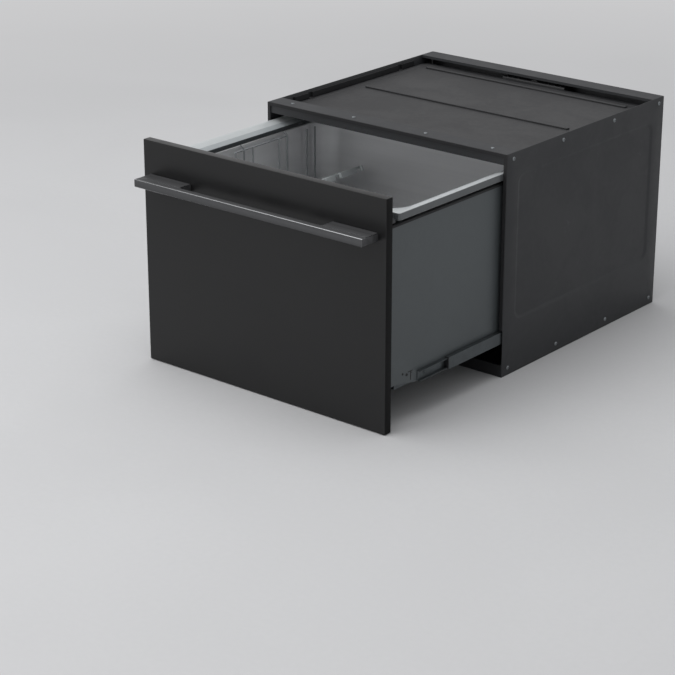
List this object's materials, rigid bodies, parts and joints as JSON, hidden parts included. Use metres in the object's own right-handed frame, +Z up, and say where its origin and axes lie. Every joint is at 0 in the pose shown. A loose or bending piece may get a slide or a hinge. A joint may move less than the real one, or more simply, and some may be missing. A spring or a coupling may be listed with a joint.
{
  "type": "dishwasher drawer",
  "caption": "Pull-out dishwasher drawer with a lacquered front, bar handle, steel tub, wire racks and a lifting lid, on runners in a built-in chassis.",
  "frame": {"origin": "middle of the chassis's footprint on its flat underside, which rests on the cabinet's shelf", "axes": "+X to the right of someone facing the front panel, +Y back into the cabinet along the runners, +Z up; the drawer is stored open by 343 mm, as in the picture"},
  "size_m": [0.598, 0.978, 0.454],
  "materials": {
    "lacquer_front": "satin lacquer, charcoal",
    "handle_metal": "dark anodised, brushed, with polished edges",
    "wrap_paint": "satin grey paint",
    "rim_plastic": "satin moulded plastic, light grey",
    "stainless": "brushed",
    "zinc_steel": "zinc plated, satin",
    "shell_paint": "dark grey powder coat",
    "black_plastic": "moulded, fine grain",
    "grey_plastic": "moulded, satin",
    "dark_grey_plastic": "moulded, satin",
    "coated_wire": "nylon coated wire",
    "black_rubber": "matte",
    "grey_rubber": "matte",
    "felt": "needled felt",
    "white_plastic": "moulded, satin"
  },
  "bodies": {
    "chassis": {"base_tray": "shell_paint", "side_panel_left": "shell_paint", "side_panel_right": "shell_paint", "rear_panel": "shell_paint", "top_brace_front": "shell_paint", "top_brace_rear": "shell_paint", "front_seal": "black_rubber", "toe_trim": "black_plastic", "runner_outer_left": "zinc_steel", "runner_outer_right": "zinc_steel", "lid_guide_left": "black_plastic", "lid_guide_right": "black_plastic", "lid_actuator": "black_plastic", "inlet_valve": "white_plastic", "drain_spigot": "black_plastic", "power_box": "grey_plastic", "link_drain_hose": "grey_rubber", "link_cable": "black_rubber"},
    "lid": {"lid": "black_plastic", "lid_seal": "grey_rubber"},
    "drawer": {"front_panel": "lacquer_front", "handle": "handle_metal", "front_carrier": "zinc_steel", "control_fascia": "dark_grey_plastic", "control_module": "black_plastic", "side_wrap_left": "wrap_paint", "side_wrap_right": "wrap_paint", "rear_wrap": "wrap_paint", "drawer_base": "zinc_steel", "runner_inner_left": "zinc_steel", "runner_inner_right": "zinc_steel", "tub": "stainless", "rim_frame": "rim_plastic", "rim_gasket": "black_rubber", "insulation": "felt", "wash_motor": "black_plastic", "drain_pump": "black_plastic", "filter_plate": "stainless", "dispenser_body": "dark_grey_plastic", "left_rack_floor": "coated_wire", "left_rack_sides": "coated_wire", "right_rack_floor": "coated_wire", "right_rack_sides": "coated_wire"},
    "runner_mid_left": {"runner_mid_left": "zinc_steel"},
    "runner_mid_right": {"runner_mid_right": "zinc_steel"},
    "spray_arm": {"spray_arm": "grey_plastic"},
    "drain_filter": {"drain_filter": "dark_grey_plastic"},
    "dispenser_door": {"dispenser_door": "grey_plastic"},
    "rinse_aid_cap": {"rinse_aid_cap": "white_plastic"},
    "cup_rack_front": {"cup_rack_front": "grey_plastic"},
    "cup_rack_rear": {"cup_rack_rear": "grey_plastic"},
    "tine_row_1": {"tine_row_1": "coated_wire"},
    "tine_row_2": {"tine_row_2": "coated_wire"},
    "tine_row_3": {"tine_row_3": "coated_wire"},
    "tine_row_4": {"tine_row_4": "coated_wire"},
    "cutlery_basket": {"cutlery_basket": "grey_plastic"},
    "button_power": {"button_power": "black_plastic"},
    "button_program": {"button_program": "black_plastic"},
    "button_start": {"button_start": "black_plastic"}
  },
  "joints": [
    {"name": "drawer_slide", "type": "slide", "parent": "chassis", "child": "drawer", "axis": [0, 1, 0], "range_m": [-0.137, 0.343], "deforming": ["link_drain_hose", "link_cable"]},
    {"name": "runner_left_slide", "type": "slide", "parent": "chassis", "child": "runner_mid_left", "axis": [0, 1, 0], "range_m": [-0.0685, 0.1715]},
    {"name": "runner_right_slide", "type": "slide", "parent": "chassis", "child": "runner_mid_right", "axis": [0, 1, 0], "range_m": [-0.0685, 0.1715]},
    {"name": "lid_lift", "type": "slide", "parent": "chassis", "child": "lid", "axis": [0, 0, -1], "range_m": [0, 0.01]},
    {"name": "spray_arm_spin", "type": "hinge", "parent": "drawer", "child": "spray_arm", "pos_m": [0, -0.3535, 0.13], "axis": [0, 0, 1], "continuous": true},
    {"name": "filter_turn", "type": "hinge", "parent": "drawer", "child": "drain_filter", "pos_m": [0.042, -0.3535, 0.11], "axis": [0, 0, 1], "range_deg": [0, 90]},
    {"name": "dispenser_door_hinge", "type": "hinge", "parent": "drawer", "child": "dispenser_door", "pos_m": [0.0975, -0.5399, 0.2465], "axis": [-1, 0, 0], "range_deg": [0, 90]},
    {"name": "rinse_aid_cap_turn", "type": "hinge", "parent": "drawer", "child": "rinse_aid_cap", "pos_m": [0.17, -0.5422, 0.29], "axis": [0, 1, 0], "range_deg": [0, 90]},
    {"name": "cup_rack_front_fold", "type": "hinge", "parent": "drawer", "child": "cup_rack_front", "pos_m": [-0.2473, -0.353, 0.27], "axis": [0, -1, 0], "range_deg": [0, 57]},
    {"name": "cup_rack_rear_fold", "type": "hinge", "parent": "drawer", "child": "cup_rack_rear", "pos_m": [-0.2473, -0.228, 0.27], "axis": [0, -1, 0], "range_deg": [0, 57]},
    {"name": "tine_row_1_fold", "type": "hinge", "parent": "drawer", "child": "tine_row_1", "pos_m": [-0.022, -0.3535, 0.1554], "axis": [0, -1, 0], "range_deg": [0, 84]},
    {"name": "tine_row_2_fold", "type": "hinge", "parent": "drawer", "child": "tine_row_2", "pos_m": [0.052, -0.3535, 0.1554], "axis": [0, -1, 0], "range_deg": [0, 84]},
    {"name": "tine_row_3_fold", "type": "hinge", "parent": "drawer", "child": "tine_row_3", "pos_m": [0.125, -0.3535, 0.1554], "axis": [0, -1, 0], "range_deg": [0, 84]},
    {"name": "tine_row_4_fold", "type": "hinge", "parent": "drawer", "child": "tine_row_4", "pos_m": [0.216, -0.3535, 0.1554], "axis": [0, -1, 0], "range_deg": [0, 84]},
    {"name": "basket_lift", "type": "slide", "parent": "drawer", "child": "cutlery_basket", "axis": [0, 0, -1], "range_m": [-0.25, 0]},
    {"name": "button_power_press", "type": "slide", "parent": "drawer", "child": "button_power", "axis": [0, 0, -1], "range_m": [0, 0.0009], "stiffness_N_per_m": 600},
    {"name": "button_program_press", "type": "slide", "parent": "drawer", "child": "button_program", "axis": [0, 0, -1], "range_m": [0, 0.0009], "stiffness_N_per_m": 600},
    {"name": "button_start_press", "type": "slide", "parent": "drawer", "child": "button_start", "axis": [0, 0, -1], "range_m": [0, 0.0009], "stiffness_N_per_m": 600}
  ],
  "couplings": [
    {"joint": "runner_left_slide", "follows": "drawer_slide", "ratio": 0.5},
    {"joint": "runner_right_slide", "follows": "drawer_slide", "ratio": 0.5}
  ]
}
